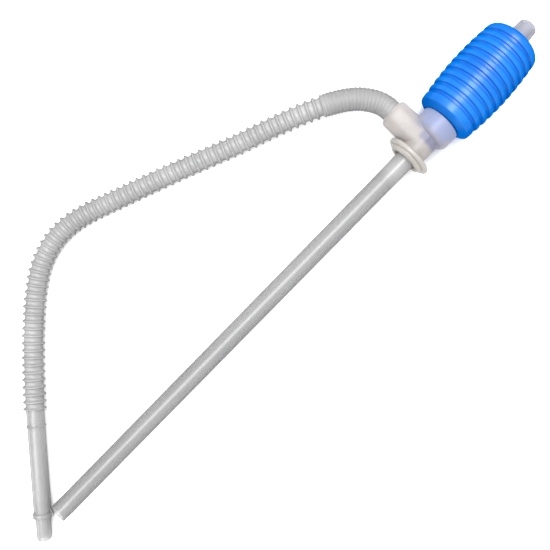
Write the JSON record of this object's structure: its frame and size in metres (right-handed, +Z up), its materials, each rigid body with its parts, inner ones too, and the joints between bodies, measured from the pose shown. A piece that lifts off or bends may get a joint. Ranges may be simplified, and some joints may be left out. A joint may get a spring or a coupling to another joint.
{
  "type": "hand siphon pump",
  "caption": "Hand siphon pump lying flat: squeeze bulb with screw vent cap, two-valve tee with flange, rigid suction tube and corrugated discharge hose with a spout.",
  "frame": {"origin": "on the floor under the middle of the pump without its hose", "axes": "+Z up off the floor that the pump lies on, +X along the suction tube towards the bulb and its vent cap, +Y towards the side branch and the hose"},
  "size_m": [0.6253, 0.2136, 0.0591],
  "materials": {
    "bulb_blue": "soft blow-moulded polyethylene, satin gloss",
    "milky_body": "natural polyethylene, milky, satin gloss",
    "collar_white": "warm off-white polyethylene, satin gloss",
    "cap_milky": "milky polyethylene, satin",
    "clear_tube": "translucent extruded tube, glossy",
    "clear_hose": "translucent thin blow-moulded polyethylene",
    "valve_white": "white moulded plastic",
    "valve_red": "soft moulded valve disc",
    "seal_grey": "grey rubber"
  },
  "bodies": {
    "pump": {"suction_tube": "clear_tube", "tube_nipple": "valve_white", "flange_collar": "collar_white", "suction_valve_seat": "valve_white", "suction_valve_cage": "valve_white", "valve_body": "milky_body", "bulb_washer": "seal_grey", "bellows_bulb": "bulb_blue", "discharge_valve_seat": "valve_white", "discharge_valve_cage": "valve_white", "hose_cuff": "clear_hose", "corrugated_hose": "clear_hose", "outlet_tube": "clear_hose", "cuff_ring": "clear_hose", "hook_ring": "clear_hose", "outlet_spout": "clear_hose"},
    "bulb_top": {"vent_spout": "milky_body"},
    "vent_lift": {"vent_seal": "seal_grey"},
    "vent_cap": {"vent_cap": "cap_milky"},
    "suction_valve": {"suction_valve": "valve_red"},
    "discharge_valve": {"discharge_valve": "valve_red"}
  },
  "joints": [
    {"name": "bulb_squeeze", "type": "slide", "parent": "pump", "child": "bulb_top", "axis": [-0.9988, -0.0297, -0.0394], "range_m": [0, 0.035], "stiffness_N_per_m": 600, "deforming": ["bellows_bulb"]},
    {"name": "vent_cap_lift", "type": "slide", "parent": "bulb_top", "child": "vent_lift", "axis": [0.9988, 0.0297, 0.0394], "range_m": [0, 0.0025]},
    {"name": "vent_cap_turn", "type": "hinge", "parent": "vent_lift", "child": "vent_cap", "pos_m": [0.29184, -0.00112, 0.03165], "axis": [0.9988, 0.0297, 0.0394], "range_deg": [0, 360]},
    {"name": "suction_valve_lift", "type": "slide", "parent": "pump", "child": "suction_valve", "axis": [0.9992, 0, 0.0394], "range_m": [0, 0.0035]},
    {"name": "discharge_valve_lift", "type": "slide", "parent": "pump", "child": "discharge_valve", "axis": [0, 1, 0], "range_m": [0, 0.0035]}
  ],
  "couplings": [
    {"joint": "vent_cap_turn", "follows": "vent_cap_lift", "rad_per_m": 2513.3}
  ]
}
